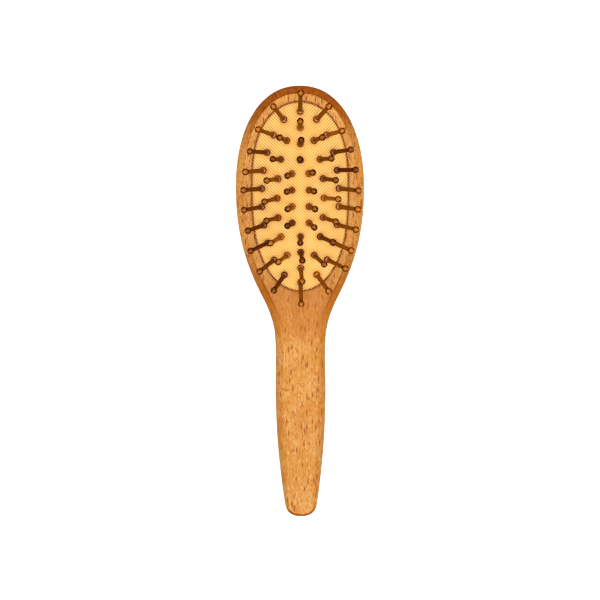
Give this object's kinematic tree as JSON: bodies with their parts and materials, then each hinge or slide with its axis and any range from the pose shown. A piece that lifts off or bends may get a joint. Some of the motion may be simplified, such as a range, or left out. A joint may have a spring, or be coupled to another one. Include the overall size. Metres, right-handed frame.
{
  "type": "paddle brush",
  "caption": "Oval cushion hairbrush with a one-piece wooden head and handle, a domed woven pad and ball-tipped wooden pins that sink and straighten as the pad is pressed.",
  "frame": {"origin": "on the flat back, under the widest row of the pad", "axes": "+Y to the head end along the brush, +X to the right seen from the pins, +Z from the back to the pin tips"},
  "size_m": [0.0646, 0.22, 0.0416],
  "materials": {
    "beech_body": "oiled beech, satin",
    "twill_cloth": "cream woven twill",
    "rubber_membrane": "matt tan natural rubber",
    "turned_pins": "dark stained, satin"
  },
  "bodies": {
    "brush_body": {"wood_body": "beech_body", "cushion_rubber": "rubber_membrane", "cushion_fabric": "twill_cloth"},
    "outer_pin_01": {"outer_pin_01": "turned_pins"},
    "outer_pin_02": {"outer_pin_02": "turned_pins"},
    "outer_pin_03": {"outer_pin_03": "turned_pins"},
    "outer_pin_04": {"outer_pin_04": "turned_pins"},
    "outer_pin_05": {"outer_pin_05": "turned_pins"},
    "outer_pin_06": {"outer_pin_06": "turned_pins"},
    "outer_pin_07": {"outer_pin_07": "turned_pins"},
    "outer_pin_08": {"outer_pin_08": "turned_pins"},
    "outer_pin_09": {"outer_pin_09": "turned_pins"},
    "outer_pin_10": {"outer_pin_10": "turned_pins"},
    "outer_pin_11": {"outer_pin_11": "turned_pins"},
    "outer_pin_12": {"outer_pin_12": "turned_pins"},
    "outer_pin_13": {"outer_pin_13": "turned_pins"},
    "outer_pin_14": {"outer_pin_14": "turned_pins"},
    "outer_pin_15": {"outer_pin_15": "turned_pins"},
    "outer_pin_16": {"outer_pin_16": "turned_pins"},
    "outer_pin_17": {"outer_pin_17": "turned_pins"},
    "outer_pin_18": {"outer_pin_18": "turned_pins"},
    "outer_pin_19": {"outer_pin_19": "turned_pins"},
    "outer_pin_20": {"outer_pin_20": "turned_pins"},
    "outer_pin_21": {"outer_pin_21": "turned_pins"},
    "outer_pin_22": {"outer_pin_22": "turned_pins"},
    "middle_pin_01": {"middle_pin_01": "turned_pins"},
    "middle_pin_02": {"middle_pin_02": "turned_pins"},
    "middle_pin_03": {"middle_pin_03": "turned_pins"},
    "middle_pin_04": {"middle_pin_04": "turned_pins"},
    "middle_pin_05": {"middle_pin_05": "turned_pins"},
    "middle_pin_06": {"middle_pin_06": "turned_pins"},
    "middle_pin_07": {"middle_pin_07": "turned_pins"},
    "middle_pin_08": {"middle_pin_08": "turned_pins"},
    "middle_pin_09": {"middle_pin_09": "turned_pins"},
    "middle_pin_10": {"middle_pin_10": "turned_pins"},
    "middle_pin_11": {"middle_pin_11": "turned_pins"},
    "middle_pin_12": {"middle_pin_12": "turned_pins"},
    "middle_pin_13": {"middle_pin_13": "turned_pins"},
    "middle_pin_14": {"middle_pin_14": "turned_pins"},
    "middle_pin_15": {"middle_pin_15": "turned_pins"},
    "middle_pin_16": {"middle_pin_16": "turned_pins"},
    "inner_pin_01": {"inner_pin_01": "turned_pins"},
    "inner_pin_02": {"inner_pin_02": "turned_pins"},
    "inner_pin_03": {"inner_pin_03": "turned_pins"},
    "inner_pin_04": {"inner_pin_04": "turned_pins"},
    "inner_pin_05": {"inner_pin_05": "turned_pins"},
    "inner_pin_06": {"inner_pin_06": "turned_pins"},
    "inner_pin_07": {"inner_pin_07": "turned_pins"},
    "inner_pin_08": {"inner_pin_08": "turned_pins"},
    "inner_pin_09": {"inner_pin_09": "turned_pins"},
    "inner_pin_10": {"inner_pin_10": "turned_pins"},
    "inner_pin_11": {"inner_pin_11": "turned_pins"},
    "inner_pin_12": {"inner_pin_12": "turned_pins"}
  },
  "joints": [
    {"name": "cushion_press", "type": "slide", "parent": "brush_body", "child": "inner_pin_02", "axis": [0, 0, -1], "range_m": [0, 0.00448], "deforming": ["cushion_rubber", "cushion_fabric"]},
    {"name": "outer_pin_01_sink", "type": "hinge", "parent": "brush_body", "child": "outer_pin_01", "pos_m": [0, 0.04698, 0.01624], "axis": [1, 0, 0], "range_deg": [0, 13.44]},
    {"name": "outer_pin_02_sink", "type": "hinge", "parent": "brush_body", "child": "outer_pin_02", "pos_m": [0.01386, 0.0428, 0.01673], "axis": [0.7906, -0.6124, 0], "range_deg": [0, 12.78]},
    {"name": "outer_pin_03_sink", "type": "hinge", "parent": "brush_body", "child": "outer_pin_03", "pos_m": [0.0225, 0.03218, 0.01701], "axis": [0.429, -0.9033, 0], "range_deg": [0, 12.59]},
    {"name": "outer_pin_04_sink", "type": "hinge", "parent": "brush_body", "child": "outer_pin_04", "pos_m": [0.02565, 0.02097, 0.01678], "axis": [0.1862, -0.9825, 0], "range_deg": [0, 12.91]},
    {"name": "outer_pin_05_sink", "type": "hinge", "parent": "brush_body", "child": "outer_pin_05", "pos_m": [0.02635, 0.01077, 0.01636], "axis": [0.0559, -0.9984, 0], "range_deg": [0, 13.3]},
    {"name": "outer_pin_06_sink", "type": "hinge", "parent": "brush_body", "child": "outer_pin_06", "pos_m": [0.02622, 0.00129, 0.01601], "axis": [0.0013, -1, 0], "range_deg": [0, 13.59]},
    {"name": "outer_pin_07_sink", "type": "hinge", "parent": "brush_body", "child": "outer_pin_07", "pos_m": [0.02608, -0.008, 0.01596], "axis": [-0.0306, -0.9995, 0], "range_deg": [0, 13.63]},
    {"name": "outer_pin_08_sink", "type": "hinge", "parent": "brush_body", "child": "outer_pin_08", "pos_m": [0.02558, -0.01763, 0.01611], "axis": [-0.1097, -0.994, 0], "range_deg": [0, 13.52]},
    {"name": "outer_pin_09_sink", "type": "hinge", "parent": "brush_body", "child": "outer_pin_09", "pos_m": [0.02405, -0.02763, 0.01629], "axis": [-0.2403, -0.9707, 0], "range_deg": [0, 13.34]},
    {"name": "outer_pin_10_sink", "type": "hinge", "parent": "brush_body", "child": "outer_pin_10", "pos_m": [0.02051, -0.03798, 0.01634], "axis": [-0.4524, -0.8918, 0], "range_deg": [0, 13.06]},
    {"name": "outer_pin_11_sink", "type": "hinge", "parent": "brush_body", "child": "outer_pin_11", "pos_m": [0.01307, -0.04781, 0.01607], "axis": [-0.7684, -0.6399, 0], "range_deg": [0, 12.69]},
    {"name": "outer_pin_12_sink", "type": "hinge", "parent": "brush_body", "child": "outer_pin_12", "pos_m": [0, -0.05276, 0.01574], "axis": [-1, 0, 0], "range_deg": [0, 12.49]},
    {"name": "outer_pin_13_sink", "type": "hinge", "parent": "brush_body", "child": "outer_pin_13", "pos_m": [-0.01307, -0.04781, 0.01607], "axis": [-0.7684, 0.6399, 0], "range_deg": [0, 12.69]},
    {"name": "outer_pin_14_sink", "type": "hinge", "parent": "brush_body", "child": "outer_pin_14", "pos_m": [-0.02051, -0.03798, 0.01634], "axis": [-0.4524, 0.8918, 0], "range_deg": [0, 13.06]},
    {"name": "outer_pin_15_sink", "type": "hinge", "parent": "brush_body", "child": "outer_pin_15", "pos_m": [-0.02405, -0.02763, 0.01629], "axis": [-0.2403, 0.9707, 0], "range_deg": [0, 13.34]},
    {"name": "outer_pin_16_sink", "type": "hinge", "parent": "brush_body", "child": "outer_pin_16", "pos_m": [-0.02558, -0.01763, 0.01611], "axis": [-0.1097, 0.994, 0], "range_deg": [0, 13.52]},
    {"name": "outer_pin_17_sink", "type": "hinge", "parent": "brush_body", "child": "outer_pin_17", "pos_m": [-0.02608, -0.008, 0.01596], "axis": [-0.0306, 0.9995, 0], "range_deg": [0, 13.63]},
    {"name": "outer_pin_18_sink", "type": "hinge", "parent": "brush_body", "child": "outer_pin_18", "pos_m": [-0.02622, 0.00129, 0.01601], "axis": [0.0013, 1, 0], "range_deg": [0, 13.59]},
    {"name": "outer_pin_19_sink", "type": "hinge", "parent": "brush_body", "child": "outer_pin_19", "pos_m": [-0.02635, 0.01077, 0.01636], "axis": [0.0559, 0.9984, 0], "range_deg": [0, 13.3]},
    {"name": "outer_pin_20_sink", "type": "hinge", "parent": "brush_body", "child": "outer_pin_20", "pos_m": [-0.02565, 0.02097, 0.01678], "axis": [0.1862, 0.9825, 0], "range_deg": [0, 12.91]},
    {"name": "outer_pin_21_sink", "type": "hinge", "parent": "brush_body", "child": "outer_pin_21", "pos_m": [-0.0225, 0.03218, 0.01701], "axis": [0.429, 0.9033, 0], "range_deg": [0, 12.59]},
    {"name": "outer_pin_22_sink", "type": "hinge", "parent": "brush_body", "child": "outer_pin_22", "pos_m": [-0.01386, 0.0428, 0.01673], "axis": [0.7906, 0.6124, 0], "range_deg": [0, 12.78]},
    {"name": "middle_pin_01_sink", "type": "hinge", "parent": "brush_body", "child": "middle_pin_01", "pos_m": [0, 0.0579, 0.01896], "axis": [1, 0, 0], "range_deg": [0, 7.48]},
    {"name": "middle_pin_02_sink", "type": "hinge", "parent": "brush_body", "child": "middle_pin_02", "pos_m": [0.03054, 0.03993, 0.01938], "axis": [0.5279, -0.8493, 0], "range_deg": [0, 7.53]},
    {"name": "middle_pin_03_sink", "type": "hinge", "parent": "brush_body", "child": "middle_pin_03", "pos_m": [0.03438, 0.02005, 0.01942], "axis": [0.1653, -0.9862, 0], "range_deg": [0, 8.47]},
    {"name": "middle_pin_04_sink", "type": "hinge", "parent": "brush_body", "child": "middle_pin_04", "pos_m": [0.03351, 0.00698, 0.01924], "axis": [0.0273, -0.9996, 0], "range_deg": [0, 9.19]},
    {"name": "middle_pin_05_sink", "type": "hinge", "parent": "brush_body", "child": "middle_pin_05", "pos_m": [0.03284, -0.00344, 0.01912], "axis": [-0.0087, -1, 0], "range_deg": [0, 9.48]},
    {"name": "middle_pin_06_sink", "type": "hinge", "parent": "brush_body", "child": "middle_pin_06", "pos_m": [0.03275, -0.01469, 0.01914], "axis": [-0.0832, -0.9965, 0], "range_deg": [0, 9.32]},
    {"name": "middle_pin_07_sink", "type": "hinge", "parent": "brush_body", "child": "middle_pin_07", "pos_m": [0.03179, -0.02801, 0.01912], "axis": [-0.245, -0.9695, 0], "range_deg": [0, 8.86]},
    {"name": "middle_pin_08_sink", "type": "hinge", "parent": "brush_body", "child": "middle_pin_08", "pos_m": [0.02601, -0.0455, 0.01887], "axis": [-0.5838, -0.8119, 0], "range_deg": [0, 8.15]},
    {"name": "middle_pin_09_sink", "type": "hinge", "parent": "brush_body", "child": "middle_pin_09", "pos_m": [0, -0.06066, 0.01834], "axis": [-1, 0, 0], "range_deg": [0, 7.8]},
    {"name": "middle_pin_10_sink", "type": "hinge", "parent": "brush_body", "child": "middle_pin_10", "pos_m": [-0.02601, -0.0455, 0.01887], "axis": [-0.5838, 0.8119, 0], "range_deg": [0, 8.15]},
    {"name": "middle_pin_11_sink", "type": "hinge", "parent": "brush_body", "child": "middle_pin_11", "pos_m": [-0.03179, -0.02801, 0.01912], "axis": [-0.245, 0.9695, 0], "range_deg": [0, 8.86]},
    {"name": "middle_pin_12_sink", "type": "hinge", "parent": "brush_body", "child": "middle_pin_12", "pos_m": [-0.03275, -0.01469, 0.01914], "axis": [-0.0832, 0.9965, 0], "range_deg": [0, 9.32]},
    {"name": "middle_pin_13_sink", "type": "hinge", "parent": "brush_body", "child": "middle_pin_13", "pos_m": [-0.03284, -0.00344, 0.01912], "axis": [-0.0087, 1, 0], "range_deg": [0, 9.48]},
    {"name": "middle_pin_14_sink", "type": "hinge", "parent": "brush_body", "child": "middle_pin_14", "pos_m": [-0.03351, 0.00698, 0.01924], "axis": [0.0273, 0.9996, 0], "range_deg": [0, 9.19]},
    {"name": "middle_pin_15_sink", "type": "hinge", "parent": "brush_body", "child": "middle_pin_15", "pos_m": [-0.03438, 0.02005, 0.01942], "axis": [0.1653, 0.9862, 0], "range_deg": [0, 8.47]},
    {"name": "middle_pin_16_sink", "type": "hinge", "parent": "brush_body", "child": "middle_pin_16", "pos_m": [-0.03054, 0.03993, 0.01938], "axis": [0.5279, 0.8493, 0], "range_deg": [0, 7.53]},
    {"name": "inner_pin_01_sink", "type": "hinge", "parent": "brush_body", "child": "inner_pin_01", "pos_m": [0, 0.09728, 0.02022], "axis": [1, 0, 0], "range_deg": [0, 3.26]},
    {"name": "inner_pin_03_sink", "type": "hinge", "parent": "brush_body", "child": "inner_pin_03", "pos_m": [0.07158, 0.01618, 0.02064], "axis": [0.1072, -0.9942, 0], "range_deg": [0, 3.75]},
    {"name": "inner_pin_04_sink", "type": "hinge", "parent": "brush_body", "child": "inner_pin_04", "pos_m": [0.07316, 0.00089, 0.02067], "axis": [0.0014, -1, 0], "range_deg": [0, 3.71]},
    {"name": "inner_pin_05_sink", "type": "hinge", "parent": "brush_body", "child": "inner_pin_05", "pos_m": [0.07237, -0.01204, 0.02065], "axis": [-0.0692, -0.9976, 0], "range_deg": [0, 3.73]},
    {"name": "inner_pin_06_sink", "type": "hinge", "parent": "brush_body", "child": "inner_pin_06", "pos_m": [0.06618, -0.03083, 0.02051], "axis": [-0.2413, -0.9705, 0], "range_deg": [0, 3.92]},
    {"name": "inner_pin_07_sink", "type": "hinge", "parent": "brush_body", "child": "inner_pin_07", "pos_m": [0, -0.15009, 0.02047], "axis": [-1, 0, 0], "range_deg": [0, 1.95]},
    {"name": "inner_pin_08_sink", "type": "hinge", "parent": "brush_body", "child": "inner_pin_08", "pos_m": [0, -0.08478, 0.01977], "axis": [-1, 0, 0], "range_deg": [0, 4.12]},
    {"name": "inner_pin_09_sink", "type": "hinge", "parent": "brush_body", "child": "inner_pin_09", "pos_m": [-0.06618, -0.03083, 0.02051], "axis": [-0.2413, 0.9705, 0], "range_deg": [0, 3.92]},
    {"name": "inner_pin_10_sink", "type": "hinge", "parent": "brush_body", "child": "inner_pin_10", "pos_m": [-0.07237, -0.01204, 0.02065], "axis": [-0.0692, 0.9976, 0], "range_deg": [0, 3.73]},
    {"name": "inner_pin_11_sink", "type": "hinge", "parent": "brush_body", "child": "inner_pin_11", "pos_m": [-0.07316, 0.00089, 0.02067], "axis": [0.0014, 1, 0], "range_deg": [0, 3.71]},
    {"name": "inner_pin_12_sink", "type": "hinge", "parent": "brush_body", "child": "inner_pin_12", "pos_m": [-0.07158, 0.01618, 0.02064], "axis": [0.1072, 0.9942, 0], "range_deg": [0, 3.75]}
  ],
  "couplings": [
    {"joint": "outer_pin_01_sink", "follows": "cushion_press", "rad_per_m": 52.298},
    {"joint": "outer_pin_02_sink", "follows": "cushion_press", "rad_per_m": 49.755},
    {"joint": "outer_pin_03_sink", "follows": "cushion_press", "rad_per_m": 48.989},
    {"joint": "outer_pin_04_sink", "follows": "cushion_press", "rad_per_m": 50.236},
    {"joint": "outer_pin_05_sink", "follows": "cushion_press", "rad_per_m": 51.76},
    {"joint": "outer_pin_06_sink", "follows": "cushion_press", "rad_per_m": 52.901},
    {"joint": "outer_pin_07_sink", "follows": "cushion_press", "rad_per_m": 53.057},
    {"joint": "outer_pin_08_sink", "follows": "cushion_press", "rad_per_m": 52.632},
    {"joint": "outer_pin_09_sink", "follows": "cushion_press", "rad_per_m": 51.924},
    {"joint": "outer_pin_10_sink", "follows": "cushion_press", "rad_per_m": 50.833},
    {"joint": "outer_pin_11_sink", "follows": "cushion_press", "rad_per_m": 49.389},
    {"joint": "outer_pin_12_sink", "follows": "cushion_press", "rad_per_m": 48.628},
    {"joint": "outer_pin_13_sink", "follows": "cushion_press", "rad_per_m": 49.389},
    {"joint": "outer_pin_14_sink", "follows": "cushion_press", "rad_per_m": 50.833},
    {"joint": "outer_pin_15_sink", "follows": "cushion_press", "rad_per_m": 51.924},
    {"joint": "outer_pin_16_sink", "follows": "cushion_press", "rad_per_m": 52.632},
    {"joint": "outer_pin_17_sink", "follows": "cushion_press", "rad_per_m": 53.057},
    {"joint": "outer_pin_18_sink", "follows": "cushion_press", "rad_per_m": 52.901},
    {"joint": "outer_pin_19_sink", "follows": "cushion_press", "rad_per_m": 51.76},
    {"joint": "outer_pin_20_sink", "follows": "cushion_press", "rad_per_m": 50.236},
    {"joint": "outer_pin_21_sink", "follows": "cushion_press", "rad_per_m": 48.989},
    {"joint": "outer_pin_22_sink", "follows": "cushion_press", "rad_per_m": 49.755},
    {"joint": "middle_pin_01_sink", "follows": "cushion_press", "rad_per_m": 29.098},
    {"joint": "middle_pin_02_sink", "follows": "cushion_press", "rad_per_m": 29.277},
    {"joint": "middle_pin_03_sink", "follows": "cushion_press", "rad_per_m": 32.947},
    {"joint": "middle_pin_04_sink", "follows": "cushion_press", "rad_per_m": 35.76},
    {"joint": "middle_pin_05_sink", "follows": "cushion_press", "rad_per_m": 36.886},
    {"joint": "middle_pin_06_sink", "follows": "cushion_press", "rad_per_m": 36.28},
    {"joint": "middle_pin_07_sink", "follows": "cushion_press", "rad_per_m": 34.465},
    {"joint": "middle_pin_08_sink", "follows": "cushion_press", "rad_per_m": 31.713},
    {"joint": "middle_pin_09_sink", "follows": "cushion_press", "rad_per_m": 30.358},
    {"joint": "middle_pin_10_sink", "follows": "cushion_press", "rad_per_m": 31.713},
    {"joint": "middle_pin_11_sink", "follows": "cushion_press", "rad_per_m": 34.465},
    {"joint": "middle_pin_12_sink", "follows": "cushion_press", "rad_per_m": 36.28},
    {"joint": "middle_pin_13_sink", "follows": "cushion_press", "rad_per_m": 36.886},
    {"joint": "middle_pin_14_sink", "follows": "cushion_press", "rad_per_m": 35.76},
    {"joint": "middle_pin_15_sink", "follows": "cushion_press", "rad_per_m": 32.947},
    {"joint": "middle_pin_16_sink", "follows": "cushion_press", "rad_per_m": 29.277},
    {"joint": "inner_pin_01_sink", "follows": "cushion_press", "rad_per_m": 12.673},
    {"joint": "inner_pin_03_sink", "follows": "cushion_press", "rad_per_m": 14.573},
    {"joint": "inner_pin_04_sink", "follows": "cushion_press", "rad_per_m": 14.395},
    {"joint": "inner_pin_05_sink", "follows": "cushion_press", "rad_per_m": 14.484},
    {"joint": "inner_pin_06_sink", "follows": "cushion_press", "rad_per_m": 15.216},
    {"joint": "inner_pin_07_sink", "follows": "cushion_press", "rad_per_m": 7.5634},
    {"joint": "inner_pin_08_sink", "follows": "cushion_press", "rad_per_m": 16.012},
    {"joint": "inner_pin_09_sink", "follows": "cushion_press", "rad_per_m": 15.216},
    {"joint": "inner_pin_10_sink", "follows": "cushion_press", "rad_per_m": 14.484},
    {"joint": "inner_pin_11_sink", "follows": "cushion_press", "rad_per_m": 14.395},
    {"joint": "inner_pin_12_sink", "follows": "cushion_press", "rad_per_m": 14.573}
  ]
}
